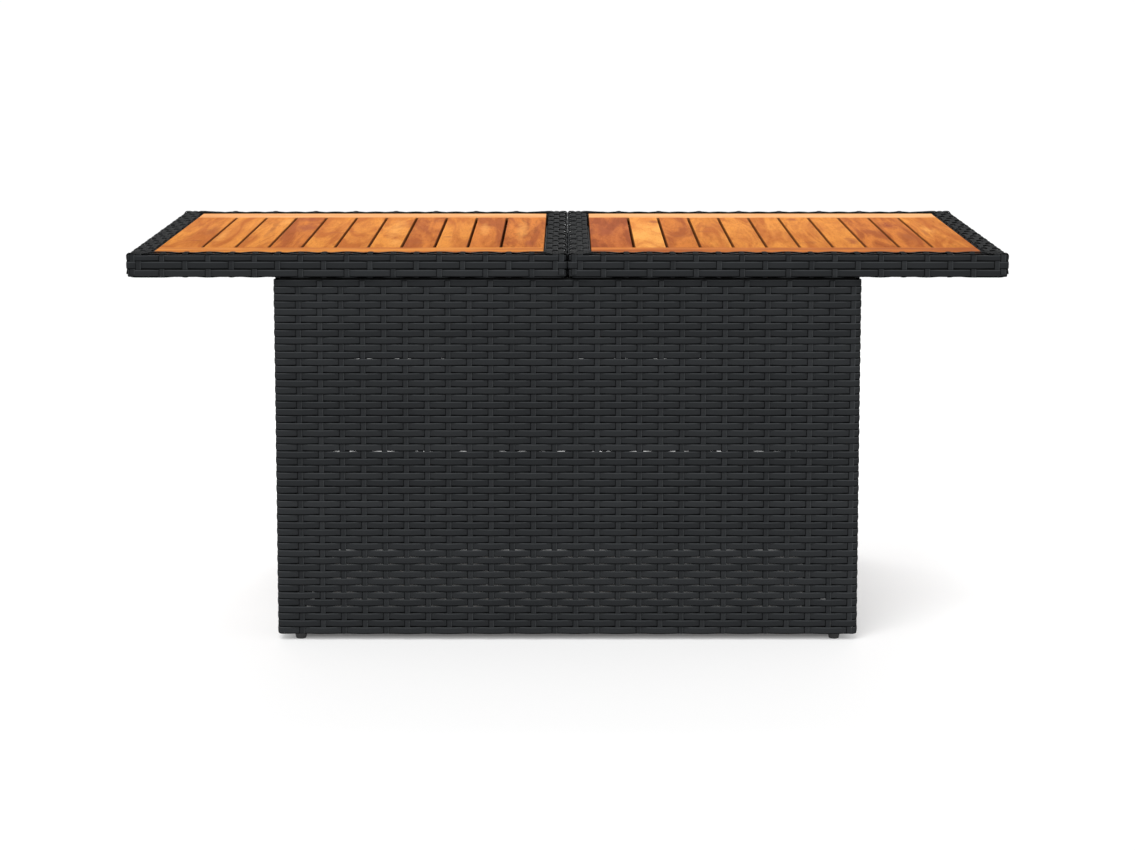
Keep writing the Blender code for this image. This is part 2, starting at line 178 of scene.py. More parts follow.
class Shader:
    """Short names for building one material's node tree."""

    def __init__(self, name):
        self.material = bpy.data.materials.new(name)
        self.material.use_nodes = True
        self.tree = self.material.node_tree
        self.principled = self.tree.nodes["Principled BSDF"]

    def node(self, kind, settings=None, **inputs):
        made = self.tree.nodes.new("ShaderNode" + kind)
        for key, value in (settings or {}).items():
            setattr(made, key, value)
        for key, value in inputs.items():
            self.feed(made.inputs[key.replace("_", " ")], value)
        return made

    def feed(self, socket, value):
        if isinstance(value, bpy.types.NodeSocket):
            self.tree.links.new(value, socket)
        else:
            socket.default_value = value

    def math(self, operation, a, b=0.0, clamp=False):
        made = self.tree.nodes.new("ShaderNodeMath")
        made.operation = operation
        made.use_clamp = clamp
        self.feed(made.inputs[0], a)
        self.feed(made.inputs[1], b)
        return made.outputs[0]

    def plus(self, a, b):
        return self.math("ADD", a, b)

    def times(self, a, b):
        return self.math("MULTIPLY", a, b)

    def mix(self, factor, a, b):
        made = self.tree.nodes.new("ShaderNodeMix")
        made.data_type = "RGBA"
        self.feed(made.inputs[0], factor)
        self.feed(made.inputs[6], a)
        self.feed(made.inputs[7], b)
        return made.outputs[2]

    def ramp(self, factor, *stops):
        made = self.tree.nodes.new("ShaderNodeValToRGB")
        while len(made.color_ramp.elements) < len(stops):
            made.color_ramp.elements.new(0.5)
        for element, (position, colour) in zip(made.color_ramp.elements, stops):
            element.position = position
            element.color = colour
        self.feed(made.inputs[0], factor)
        return made.outputs[0]

    def rise(self, value, low, high):
        """0 up to low, 1 from high on."""
        return self.ramp(value, (low, grey(0.0)), (high, grey(1.0)))

    def fall(self, value, low, high):
        """1 up to low, 0 from high on."""
        return self.ramp(value, (low, grey(1.0)), (high, grey(0.0)))

    def place(self, location=(0, 0, 0), scale=(1, 1, 1)):
        coordinates = self.tree.nodes.new("ShaderNodeTexCoord")
        mapping = self.tree.nodes.new("ShaderNodeMapping")
        mapping.vector_type = "POINT"
        self.tree.links.new(coordinates.outputs["Object"], mapping.inputs["Vector"])
        mapping.inputs["Location"].default_value = location
        mapping.inputs["Scale"].default_value = scale
        return mapping.outputs[0]

    def noise(self, vector, scale, detail=3.0, roughness=0.55, distortion=0.0):
        made = self.node(
            "TexNoise", Vector=vector, Scale=scale, Detail=detail, Roughness=roughness,
            Distortion=distortion,
        )
        return made.outputs["Fac"]

    def attribute(self, name):
        made = self.tree.nodes.new("ShaderNodeAttribute")
        made.attribute_name = name
        return made.outputs["Fac"]

    def upwardness(self):
        """1 on faces that look straight up, 0 on upright ones."""
        coordinates = self.tree.nodes.new("ShaderNodeTexCoord")
        split = self.node("SeparateXYZ", Vector=coordinates.outputs["Normal"])
        return split.outputs["Z"]

    def span(self, value, low, high):
        """Turns 0 to 1 into low to high."""
        return self.plus(self.times(value, high - low), low)

    def bump(self, height, strength, distance):
        made = self.node("Bump", Strength=strength, Distance=distance, Height=height)
        self.feed(self.principled.inputs["Normal"], made.outputs[0])

    def set(self, **inputs):
        for key, value in inputs.items():
            self.feed(self.principled.inputs[key.replace("_", " ")], value)
        return self.material


def grey(value):
    return (value, value, value, 1.0)


# ---------------------------------------------------------------- materials

RESIN_DARK = (0.0185, 0.0198, 0.0212, 1)
RESIN_LIGHT = (0.0262, 0.0279, 0.0296, 1)
RESIN_UNDER_SHADE = (0.0030, 0.0032, 0.0034, 1)   # painted shade under each strand's lower edge
RESIN_HIGHLIGHT = (0.055, 0.0585, 0.0615, 1)     # painted highlight along its upper edge
RESIN_TOP_SHADE = (0.0035, 0.0038, 0.0040, 1)      # painted shade where a strand lies level


def make_weave_material():
    """Dark grey resin strand: fine ribs along it, each strand a little different, with a painted
    highlight along its upper edge, painted shade under its lower edge and painted shade on its level
    tops.
    """
    s = Shader("woven_resin")
    place = s.place()
    patches = s.noise(place, scale=9.0, detail=2.0)
    speckle = s.noise(place, scale=420.0, detail=2.0)
    across = s.attribute("across")
    tone = s.plus(s.times(s.attribute("tone"), 0.5), s.times(patches, 0.5))
    colour = s.ramp(tone, (0.25, RESIN_DARK), (0.8, RESIN_LIGHT))
    # Painted shade along the lower edge of each row, on the strand's negative across side
    below = s.math("SUBTRACT", s.times(across, -1.0), 0.66, clamp=True)
    colour = s.mix(s.math("MULTIPLY", below, 5.0, clamp=True), colour, RESIN_UNDER_SHADE)
    # Painted highlight along the upper edge of each row, on the strand's positive across side
    highlight_band = s.ramp(across, (0.60, grey(0.0)), (0.84, grey(1.0)), (0.97, grey(0.0)))
    colour = s.mix(s.times(highlight_band, 0.8), colour, RESIN_HIGHLIGHT)
    # Painted shade on faces that look up, darkening the rims' level tops
    level = s.rise(s.upwardness(), 0.45, 0.95)
    colour = s.mix(s.times(level, 0.70), colour, RESIN_TOP_SHADE)
    ribs = s.math("SINE", s.times(across, 26.0))
    s.bump(s.plus(s.times(ribs, 0.5), speckle), strength=0.35, distance=0.12 * MM)
    rough = s.span(s.noise(place, scale=60.0, detail=2.0), 0.62, 0.84)
    return s.set(Base_Color=colour, Roughness=rough, Specular_IOR_Level=0.02)


# Light and dark colour of each board's figure
WOOD_TONES = {
    # The back rails' palest tone: partly their own paler wood, partly a painted reflection
    "pale_and_sheen": ((0.69, 0.345, 0.145), (0.58, 0.25, 0.085)),
    "pale": ((0.69, 0.300, 0.060), (0.52, 0.172, 0.028)),
    "golden": ((0.57, 0.205, 0.028), (0.38, 0.102, 0.012)),
    "amber": ((0.49, 0.148, 0.019), (0.30, 0.071, 0.009)),
    "red": ((0.42, 0.112, 0.019), (0.25, 0.053, 0.009)),
}

WOOD_GAP_SHADE = (0.17, 0.055, 0.017, 1)   # painted shade on the boards' upright sides and arrises, darkening the gaps between the boards

# What a mark does to the board's colour: its own colour, and how strongly it covers
MARK_LOOKS = {
    "streak": ((0.27, 0.072, 0.014), 0.55),
    "stain": ((0.26, 0.058, 0.016), 0.75),
    "knot": ((0.19, 0.028, 0.008), 0.90),
    "pale": ((0.74, 0.35, 0.085), 0.36),
}


def make_wood_material(name, tone, seed, along_x, streaks, marks):
    """Oiled hardwood: broad soft figure, fine growth lines, open pores, each board's own marks and
    painted shade on its sides.
    """
    s = Shader("wood_" + name)
    light, dark = WOOD_TONES[tone]
    line_colour = (*(0.62 * channel for channel in dark), 1)
    pore_colour = (*(0.45 * channel for channel in dark), 1)
    shift = (3.1 * seed, 1.7 * seed, 0.37 * seed)
    place = s.place(shift, (0.10, 1.0, 1.0) if along_x else (1.0, 0.10, 1.0))
    short_place = s.place(shift, (0.40, 1.0, 1.0) if along_x else (1.0, 0.40, 1.0))
    wander = s.noise(short_place, scale=14.0)
    broad = s.noise(place, scale=30.0, detail=4.0, roughness=0.6, distortion=1.6)
    lines = s.noise(place, scale=210.0, roughness=0.6, distortion=0.6)
    fine_lines = s.noise(place, scale=640.0, detail=2.0, roughness=0.6, distortion=0.3)
    pores = s.noise(place, scale=1500.0, detail=1.0, roughness=0.5)
    figure = s.rise(s.plus(s.times(broad, 0.75), s.times(wander, 0.30)), 0.45, 0.61)
    colour = s.mix(figure, (*light, 1), (*dark, 1))
    colour = s.mix(s.times(s.rise(lines, 0.50, 0.72), streaks), colour, line_colour)
    colour = s.mix(s.times(s.rise(fine_lines, 0.50, 0.68), 0.28), colour, line_colour)
    for kind, centre, reach in marks:
        colour = add_mark(s, colour, kind, centre, reach)
    # Painted shade on upright faces and arrises, which darkens the gaps between the boards
    gap_shade = s.fall(s.math("ABSOLUTE", s.upwardness()), 0.10, 0.65)
    colour = s.mix(s.times(gap_shade, 0.80), colour, WOOD_GAP_SHADE)
    pore_mask = s.rise(pores, 0.62, 0.80)
    colour = s.mix(s.times(pore_mask, 0.26), colour, pore_colour)
    s.bump(s.math("SUBTRACT", s.times(lines, 0.6), pore_mask), strength=0.30, distance=0.15 * MM)
    rough = s.span(s.plus(s.times(lines, 0.7), s.times(broad, 0.3)), 0.62, 0.85)
    return s.set(Base_Color=colour, Roughness=rough, Specular_IOR_Level=0.02)


def add_mark(s, colour, kind, centre, reach):
    """A patch with a ragged soft outline, at (x, y) and reaching (x, y) to each side."""
    tint, strength = MARK_LOOKS[kind]
    scale = (1 / reach[0], 1 / reach[1], 0.0)
    place = s.place((-centre[0] * scale[0], -centre[1] * scale[1], 0.0), scale)
    length = s.node("VectorMath", {"operation": "LENGTH"}, Vector=place).outputs["Value"]
    ragged = s.noise(s.place(scale=(1.0, 0.35, 1.0)), scale=130.0)
    distance = s.plus(length, s.times(s.math("SUBTRACT", ragged, 0.5), 1.4))
    cover = s.fall(distance, 0.25, 1.0)
    if kind == "knot":
        rings = s.math("SINE", s.times(distance, 22.0))
        cover = s.times(cover, s.plus(s.times(rings, 0.25), 0.75))
    return s.mix(s.times(cover, strength), colour, (*tint, 1))


def make_coated_steel():
    """Black powder coat: an even fine grain over slightly uneven black."""
    s = Shader("coated_steel")
    place = s.place()
    grain = s.noise(place, scale=900.0, detail=2.0)
    patches = s.noise(place, scale=14.0, detail=2.0)
    colour = s.ramp(patches, (0.3, grey(0.006)), (0.75, grey(0.011)))
    s.bump(grain, strength=0.25, distance=0.1 * MM)
    return s.set(Base_Color=colour, Roughness=s.span(grain, 0.42, 0.62), Specular_IOR_Level=0.2)


def make_foot_plastic():
    """Black moulded plastic with paler scuffs round it."""
    s = Shader("foot_plastic")
    grain = s.noise(s.place(), scale=1400.0, detail=2.0)
    scuffs = s.noise(s.place(scale=(1, 1, 5)), scale=160.0)
    colour = s.ramp(scuffs, (0.4, grey(0.010)), (0.8, grey(0.026)))
    s.bump(grain, strength=0.3, distance=0.08 * MM)
    return s.set(Base_Color=colour, Roughness=s.span(scuffs, 0.42, 0.66))


def make_zinc():
    """Bright plating with a fine spangle."""
    s = Shader("zinc_plate")
    spangle = s.noise(s.place(), scale=700.0, detail=2.0)
    colour = s.ramp(spangle, (0.3, (0.50, 0.50, 0.49, 1)), (0.7, (0.66, 0.66, 0.64, 1)))
    s.bump(spangle, strength=0.15, distance=0.05 * MM)
    return s.set(Base_Color=colour, Metallic=1.0, Roughness=s.span(spangle, 0.26, 0.42))


def make_floor_material():
    """A lit product table: white, with a glow from below that thins out the shadows, and a painted
    shadow where the glow is turned down under the base.
    """
    s = Shader("studio_floor")
    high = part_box("base_weave")[1]
    place = s.place(scale=(1 / high.x, 1 / high.y, 0.0))
    split = s.node("SeparateXYZ", Vector=place)
    across = s.math("ABSOLUTE", split.outputs["X"])
    along = s.math("ABSOLUTE", split.outputs["Y"])
    # Painted shadow: the glow is turned down on the patch under the base
    outside = s.rise(s.math("MAXIMUM", across, along), *FLOOR_PATCH_EDGE)
    glow = s.span(outside, FLOOR_GLOW_PAINTED_SHADOW, FLOOR_GLOW)
    s.set(Emission_Color=grey(1.0), Emission_Strength=glow)
    return s.set(Base_Color=grey(FLOOR_TONE), Roughness=0.9, Specular_IOR_Level=0.0)


# ---------------------------------------------------------------- paths and strands

class Loop:
    """Rounded rectangle in a plane, walked anticlockwise from the start of its low side.

    Sides: 0 low, 1 far, 2 high, 3 near. Directions are (a, b); the normal points out.
    """

    def __init__(self, half_a, half_b, radius):
        self.half_a, self.half_b, self.radius = half_a, half_b, radius
        arc_length = math.pi / 2 * radius
        flat_a, flat_b = 2 * (half_a - radius), 2 * (half_b - radius)
        lengths = [flat_a, arc_length, flat_b, arc_length] * 2
        self.starts = np.concatenate(([0.0], np.cumsum(lengths)))
        self.length = self.starts[-1]

    def at(self, s):
        """Points and outward normals at distances s, each as an array of (a, b)."""
        s = np.asarray(s) % self.length
        part = np.clip(np.searchsorted(self.starts, s, side="right") - 1, 0, 7)
        rest = s - self.starts[part]
        side = part // 2
        turn = np.where(part % 2 == 1, rest / self.radius, 0.0) + side * math.pi / 2 - math.pi / 2
        normal = np.stack([np.cos(turn), np.sin(turn)], axis=1)
        a, b = self.half_a - self.radius, self.half_b - self.radius
        side_starts = np.array([(-a, -b), (a, -b), (a, b), (-a, b)])
        arc_centres = np.roll(side_starts, -1, axis=0)
        heading = np.stack([-normal[:, 1], normal[:, 0]], axis=1)
        straight = side_starts[side] + heading * rest[:, None]
        centre = np.where((part % 2 == 1)[:, None], arc_centres[side], straight)
        return centre + normal * self.radius, normal

    def place(self, side, distance):
        """Distance along the loop of a point given by its side and how far along that side it is."""
        return self.starts[2 * side] + distance - self.radius

    def nearness_to_corner(self, s):
        """1 in the rounded corners, fading to 0 a little way along the straight sides."""
        s = np.asarray(s) % self.length
        nearest = np.full(len(s), CORNER_REACH)
        for arc in (1, 3, 5, 7):
            middle = (self.starts[arc] + self.starts[arc + 1]) / 2
            half = (self.starts[arc + 1] - self.starts[arc]) / 2
            away = np.abs((s - middle + self.length / 2) % self.length - self.length / 2)
            nearest = np.minimum(nearest, np.maximum(away - half, 0.0))
        return 1 - nearest / CORNER_REACH

    def arc_stations(self):
        """Distances that follow the four rounded corners closely."""
        made = []
        for arc in (1, 3, 5, 7):
            made.append(np.linspace(self.starts[arc], self.starts[arc + 1], ARC_STATIONS + 1))
        return np.concatenate(made)


def weave_offset(s, knots, signs, closed_length=None):
    """Smooth swing between the given side, +1 or -1, at each crossing."""
    knots, signs = np.asarray(knots, float), np.asarray(signs, float)
    if closed_length:
        s = s % closed_length
        knots = np.concatenate((knots - closed_length, knots, knots + closed_length))
        signs = np.tile(signs, 3)
    index = np.clip(np.searchsorted(knots, s, side="right") - 1, 0, len(knots) - 2)
    share = np.clip((s - knots[index]) / (knots[index + 1] - knots[index]), 0, 1)
    blend = (1 - np.cos(math.pi * share)) / 2
    return signs[index] + (signs[index + 1] - signs[index]) * blend


def make_stations(start, end, knots, extra, step):
    """Distances from start to end with even steps between crossings, and the extra ones kept."""
    marks = np.concatenate(([start, end], [k for k in knots if start < k < end]))
    marks = np.unique(marks)
    made = [np.array([start, end])]
    for low, high in zip(marks[:-1], marks[1:]):
        count = max(2, math.ceil((high - low) / step))
        made.append(np.linspace(low, high, count + 1))
    made.append(extra[(extra > start) & (extra < end)])
    stations = np.unique(np.concatenate(made))
    keep = [stations[0]]
    for value in stations[1:-1]:
        if value - keep[-1] >= SHORTEST_STEP and stations[-1] - value >= SHORTEST_STEP:
            keep.append(value)
    keep.append(stations[-1])
    return np.array(keep)


class StrandMesh:
    """Collects swept strands and makes them one mesh of quads with closed ends."""

    def __init__(self):
        self.points, self.across, self.tones = [], [], []
        self.quads, self.caps = [], []
        self.total = 0
        self.section = np.array(STRAND_SECTION)

    def add(self, centre, across, normal, width, tone, closed=False):
        count, ring = len(centre), len(self.section)
        half_width = np.broadcast_to(width, count)[:, None] / 2
        across = np.broadcast_to(across, centre.shape)
        normal = np.broadcast_to(normal, centre.shape)
        points = (
            centre[:, None, :]
            + across[:, None, :] * (half_width * self.section[None, :, 0])[:, :, None]
            + normal[:, None, :] * (STRAND_THICKNESS * self.section[None, :, 1])[:, :, None]
        )
        heading = centre[1] - centre[0]
        outward = np.dot(np.cross(across[0], normal[0]), heading) > 0
        rows = np.arange(count if closed else count - 1)
        columns = np.arange(ring)
        here = self.total + rows[:, None] * ring + columns[None, :]
        there = self.total + (rows[:, None] + 1) % count * ring + columns[None, :]
        here_next = self.total + rows[:, None] * ring + (columns[None, :] + 1) % ring
        there_next = self.total + (rows[:, None] + 1) % count * ring + (columns[None, :] + 1) % ring
        order = [here, here_next, there_next, there]
        if not outward:
            order = [here, there, there_next, here_next]
        self.quads.append(np.stack(order, axis=-1).reshape(-1, 4))
        if not closed:
            first = self.total + columns
            last = self.total + (count - 1) * ring + columns
            self.caps.append(first[::-1] if outward else first)
            self.caps.append(last if outward else last[::-1])
        self.points.append(points.reshape(-1, 3))
        self.across.append(np.tile(self.section[:, 0], count))
        self.tones.append(np.full(count * ring, tone))
        self.total += count * ring

    def build(self, name, material):
        points = np.concatenate(self.points)
        quads = np.concatenate(self.quads)
        caps = np.concatenate(self.caps) if self.caps else np.zeros(0, int)
        ring = len(self.section)
        sizes = np.concatenate((np.full(len(quads), 4), np.full(len(self.caps), ring))).astype(np.int32)
        mesh = bpy.data.meshes.new(name)
        mesh.vertices.add(len(points))
        mesh.vertices.foreach_set("co", points.astype(np.float32).ravel())
        mesh.loops.add(int(sizes.sum()))
        mesh.loops.foreach_set("vertex_index", np.concatenate((quads.ravel(), caps)).astype(np.int32))
        mesh.polygons.add(len(sizes))
        mesh.polygons.foreach_set("loop_start", (np.cumsum(sizes) - sizes).astype(np.int32))
        mesh.polygons.foreach_set("use_smooth", np.ones(len(sizes), bool))
        mesh.update(calc_edges=True)
        for label, values in (("across", self.across), ("tone", self.tones)):
            layer = mesh.attributes.new(label, "FLOAT", "POINT")
            layer.data.foreach_set("value", np.concatenate(values).astype(np.float32))
        mesh.materials.append(material)
        obj = bpy.data.objects.new(name, mesh)
        bpy.context.scene.collection.objects.link(obj)
        return obj


def plan_to_world(pairs, z):
    return np.column_stack((pairs, np.broadcast_to(z, len(pairs))))


# ---------------------------------------------------------------- base skin

def warp_places(loop, size):
    """Where the upright strands stand along the base's outline, starting at the front left."""
    places = []
    for side, (count, first, last) in enumerate(BASE_WARPS.values()):
        length = size.y if side % 2 else size.x
        start = loop.place(side, first - BASE_SKIN_DEPTH)
        end = loop.place(side, length - last - BASE_SKIN_DEPTH)
        places.append(np.linspace(start, end, count))
    return np.concatenate(places)


def build_base_skin(material, random):
    low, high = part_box("base_weave")
    high.z += BASE_SKIN_RISE
    size = high - low
    half_x, half_y = size.x / 2 - BASE_SKIN_DEPTH, size.y / 2 - BASE_SKIN_DEPTH
    loop = Loop(half_x, half_y, BASE_CORNER_RADIUS - BASE_SKIN_DEPTH)
    warps = warp_places(loop, size)
    levels = high.z - (np.arange(BASE_ROWS) + 0.5) * (size.z / BASE_ROWS)
    pieces = build_base_rows(loop, warps, levels, material, random)
    pieces += build_base_warps(loop, warps, levels, low.z, high.z, material, random)
    for piece in pieces:
        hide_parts("base_weave")
        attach(piece, "table")


def build_base_rows(loop, warps, levels, material, random):
    """Rows that run all the way round. In the corners they lie flatter and closer together."""
    warps_twice = np.concatenate((warps, warps + loop.length))
    arcs_twice = np.concatenate((loop.arc_stations(), loop.arc_stations() + loop.length))
    step = (warps[1] - warps[0]) / STEPS_PER_WARP * STEP_SLACK
    stations = make_stations(warps[0], warps[0] + loop.length, warps_twice, arcs_twice, step)[:-1]
    plan, normal = loop.at(stations)
    out = plan_to_world(normal, 0.0)
    cornering = loop.nearness_to_corner(stations)
    widths = BASE_STRAND_WIDTH + (BASE_CORNER_STRAND - BASE_STRAND_WIDTH) * cornering
    steadiness = 1 - CORNER_CALM * cornering
    shares = [StrandMesh() for _ in range(SKIN_SHARES)]
    for row, level in enumerate(levels):
        signs = np.where((row + np.arange(len(warps))) % 2 == 0, 1, -1)
        swing = WEFT_SWING * (1 + SWING_SPREAD * random.uniform(-1, 1))
        offset = swing * steadiness * weave_offset(stations, warps, signs, loop.length)
        waves = random.randint(LEVEL_WAVES[0], LEVEL_WAVES[1] + 1)
        waver = np.sin(2 * math.pi * (stations / loop.length * waves + random.uniform()))
        z = level + LEVEL_SPREAD * (random.uniform(-1, 1) + waver)
        centre = plan_to_world(plan + normal * offset[:, None], z)
        width = widths * (1 + WIDTH_SPREAD * random.uniform(-1, 1))
        strands = shares[row * SKIN_SHARES // BASE_ROWS]
        strands.add(centre, UP, out, width, random.uniform(), closed=True)
    return [strands.build(f"base_weave_rows_{i + 1}", material) for i, strands in enumerate(shares)]


def build_base_warps(loop, warps, levels, low, high, material, random):
    """Upright strands, folded in under the bottom rail at their lower ends."""
    shares = [StrandMesh() for _ in range(SKIN_SHARES)]
    plan, normal = loop.at(warps)
    foot = low + STRAND_THICKNESS / 2
    heights = np.linspace(high - WARP_TOP_GAP, foot + WARP_BEND, BASE_ROWS * STEPS_PER_ROW)
    turn = np.linspace(0, math.pi / 2, ARC_STATIONS)[1:]
    arc = WARP_BEND * np.column_stack((np.cos(turn), -np.sin(turn)))
    facing_out = np.concatenate((np.ones(len(heights)), np.cos(turn), [0.0]))
    facing_down = np.concatenate((np.zeros(len(heights)), np.sin(turn), [1.0]))
    for index in range(len(warps)):
        signs = np.where((np.arange(BASE_ROWS) + index) % 2 == 0, -1, 1)
        offset = WARP_SWING * weave_offset(-heights, -levels, signs)
        inner_end = offset[-1] - WARP_BEND
        down = np.column_stack((offset, heights))
        fold = arc + (inner_end, foot + WARP_BEND)
        section = np.concatenate((down, fold, [(inner_end - WARP_TUCK, foot)]))
        out = np.array([normal[index, 0], normal[index, 1], 0.0])
        base = np.array([plan[index, 0], plan[index, 1], 0.0])
        centre = base + out * section[:, :1] + UP * section[:, 1:]
        facing = out * facing_out[:, None] - UP * facing_down[:, None]
        across = np.array([-out[1], out[0], 0.0])
        strands = shares[index * SKIN_SHARES // len(warps)]
        strands.add(centre, across, facing, BASE_WARP_WIDTH, random.uniform())
    return [strands.build(f"base_weave_uprights_{i + 1}", material) for i, strands in enumerate(shares)]


# ---------------------------------------------------------------- rim skins

def crossings(length):
    """Where strands cross a side of the rim: two folded-over strands at each end, wraps between."""
    ends = np.array(RIM_TOP_INSETS[:2])
    wraps = np.linspace(RIM_FIRST_WRAP, length - RIM_FIRST_WRAP, RIM_WRAPS)
    return np.concatenate((ends, wraps, length - ends[::-1]))


def is_wrap(index):
    """Whether a crossing on a side of the rim is a wrap, and not a folded-over strand."""
    return 2 <= index <= RIM_WRAPS + 1


def edge_drop(inset):
    """How far the rim's top face lies below its highest level, by the distance in from its edge."""
    share = np.clip((RIM_DROP_FROM - inset) / (RIM_DROP_FROM - RIM_DROP_TO), 0, 1)
    return RIM_EDGE_DROP * (1 - np.cos(math.pi * share)) / 2


def over(row, crossing):
    """Side on which a lengthwise strand passes a crossing strand: +1 over it, -1 under."""
    return 1 if (row + crossing) % 2 else -1


class Rim:
    """The woven skin round one top half. Lengthwise rows are numbered round the rim's section:

    0 to 2 down the outer face, 3 to 5 in along the bottom, 6 to 8 up the inner face and
    9 to 11 out along the top.
    """

    def __init__(self, half, material, random):
        self.half, self.material, self.random = half, material, random
        self.nodes = [f"{half}_rim_weave_{side}" for side in RIM_SIDES]
        boxes = [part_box(node) for node in self.nodes]
        self.low = Vector([min(box[0][i] for box in boxes) for i in range(3)])
        self.high = Vector([max(box[1][i] for box in boxes) for i in range(3)])
        if half == "left":
            self.high.x += SEAM_LEAN
        else:
            self.low.x -= SEAM_LEAN
        self.size = self.high - self.low
        self.centre = (self.low + self.high) / 2
        self.shelf = self.find_shelf()

    def find_shelf(self):
        """Lowest and highest level of the ring's shelf, from the boards that lie on it."""
        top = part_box(f"{self.half}_stile_inner")[0].z - SHELF_GAP
        return top - SHELF_THICKNESS, top

    def build(self):
        for piece in (self.build_rows(), self.build_top_strands(), self.build_wraps()):
            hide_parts(*self.nodes)
            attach(piece, "table")

    def side_length(self, side):
        return self.size.y if side % 2 else self.size.x

    def face_levels(self):
        return [self.high.z - down for down, _ in RIM_FACE_ROWS]

    def inner_levels(self):
        under_shelf = self.shelf[0] - SHELF_MARGIN - RIM_INNER_STRAND / 2
        over_shelf = self.shelf[1] + SHELF_MARGIN + RIM_INNER_STRAND / 2
        return (under_shelf, over_shelf, over_shelf + RIM_INNER_STRAND + RIM_INNER_GAP)

    def ring_loop(self, inset, radius):
        return Loop(self.size.x / 2 - inset, self.size.y / 2 - inset, radius)

    def ring_crossings(self, loop, inset, row, with_folds):
        """Crossing places round a ring loop, and the row's side at each."""
        knots, signs = [], []
        for side in range(4):
            for index, distance in enumerate(crossings(self.side_length(side))):
                if with_folds or is_wrap(index):
                    knots.append(loop.place(side, distance - inset))
                    signs.append(over(row, index))
        return np.array(knots), np.array(signs)

    def add_ring(self, strands, row, inset, level, width, facing, radius, with_folds=False):
        """One closed lengthwise strand that faces "out", "in" or "down".

        with_folds says whether the folded-over top strands cross it too.
        """
        loop = self.ring_loop(inset, radius)
        knots, signs = self.ring_crossings(loop, inset, row, with_folds)
        stations = make_stations(0.0, loop.length, knots, loop.arc_stations(), RIM_ROW_STEP)[:-1]
        plan, normal = loop.at(stations)
        offset = RIM_SWING * weave_offset(stations, knots, signs, loop.length)
        out = plan_to_world(normal, 0.0)
        direction = {"out": out, "in": -out, "down": -UP}[facing]
        across = out if facing == "down" else UP
        middle = plan_to_world(plan + np.array([self.centre.x, self.centre.y]), level)
        centre = middle + direction * offset[:, None]
        strands.add(centre, across, direction, width, self.random.uniform(), closed=True)

    def build_rows(self):
        strands = StrandMesh()
        outer, inner = RIM_SKIN_DEPTH, RIM_WIDTH - RIM_SKIN_DEPTH
        radius = RIM_PLAN_RADIUS - RIM_SKIN_DEPTH
        for row, (down, width) in enumerate(RIM_FACE_ROWS):
            level = self.high.z - down
            self.add_ring(strands, row, outer, level, width, "out", radius, with_folds=True)
        bottom = self.low.z + RIM_SKIN_DEPTH
        for row, inset in enumerate(RIM_TOP_INSETS, 3):
            self.add_ring(strands, row, inset, bottom, RIM_TOP_STRAND, "down", RIM_UNDER_RADIUS)
        for row, level in enumerate(self.inner_levels(), 6):
            self.add_ring(strands, row, inner, level, RIM_INNER_STRAND, "in", RIM_INNER_RADIUS)
        return strands.build(f"{self.half}_rim_rows", self.material)

    def build_top_strands(self):
        """Strands along the top face that cross at the corners and fold down the outer faces."""
        strands = StrandMesh()
        for lane, inset in enumerate(RIM_TOP_INSETS):
            for direction in (-1, 1):
                self.add_top_strand(strands, lane, inset, direction, runs_along_x=False)
                self.add_top_strand(strands, lane, inset, direction, runs_along_x=True)
        return strands.build(f"{self.half}_rim_top_strands", self.material)

    def add_top_strand(self, strands, lane, inset, direction, runs_along_x):
        depth = RIM_SKIN_DEPTH
        length = self.size.x if runs_along_x else self.size.y
        loop = Loop(length / 2 - depth, self.size.z / 2 - depth, RIM_EDGE_RADIUS - depth)
        knots, signs = self.top_crossings(loop, lane, length, runs_along_x)
        innermost = lane == len(RIM_TOP_INSETS) - 1
        if innermost:
            start = loop.place(2, RIM_LANE_TRIM + loop.radius)
            end = loop.place(2, length - 2 * depth - RIM_LANE_TRIM - loop.radius)
        else:
            start = loop.place(1, RIM_FOLD_TRIM)
            end = loop.place(3, self.size.z - 2 * depth - RIM_FOLD_TRIM)
        stations = make_stations(start, end, knots, loop.arc_stations(), RIM_ROW_STEP)
        path, normal = loop.at(stations)
        path = path + normal * (RIM_SWING * weave_offset(stations, knots, signs))[:, None]
        from_end = length / 2 - np.abs(path[:, 0])
        clear_of_corner = np.clip((from_end - RIM_WIDTH) / (RIM_FIRST_WRAP - RIM_WIDTH), 0, 1)
        path[:, 1] -= edge_drop(inset) * clear_of_corner
        if runs_along_x:
            along, across = np.array([1.0, 0.0, 0.0]), np.array([0.0, 1.0, 0.0])
            reach = self.size.y / 2 - inset
        else:
            along, across = np.array([0.0, 1.0, 0.0]), np.array([1.0, 0.0, 0.0])
            reach = self.size.x / 2 - inset
        middle = np.array(self.centre) + across * direction * reach
        centre = middle + along * path[:, :1] + UP * path[:, 1:]
        facing = along * normal[:, :1] + UP * normal[:, 1:]
        strands.add(centre, across, facing, RIM_TOP_STRAND, self.random.uniform())

    def top_crossings(self, loop, lane, length, runs_along_x):
        """Crossings of a top strand: outer-face rows, the other way's top strands, and wraps."""
        depth = RIM_SKIN_DEPTH
        found = []
        for row, level in enumerate(self.face_levels()):
            height = level - self.low.z - depth
            found.append((loop.place(1, height), -over(row, lane)))
            found.append((loop.place(3, self.size.z - 2 * depth - height), -over(row, lane)))
        for other, inset in enumerate(RIM_TOP_INSETS):
            side = over(lane, other) if not runs_along_x else -over(lane, other)
            found.append((loop.place(2, inset - depth), side))
            found.append((loop.place(2, length - inset - depth), side))
        for index, distance in enumerate(crossings(length)):
            if is_wrap(index):
                found.append((loop.place(2, distance - depth), over(11 - lane, index)))
        found.sort()
        return np.array([knot for knot, _ in found]), np.array([side for _, side in found])

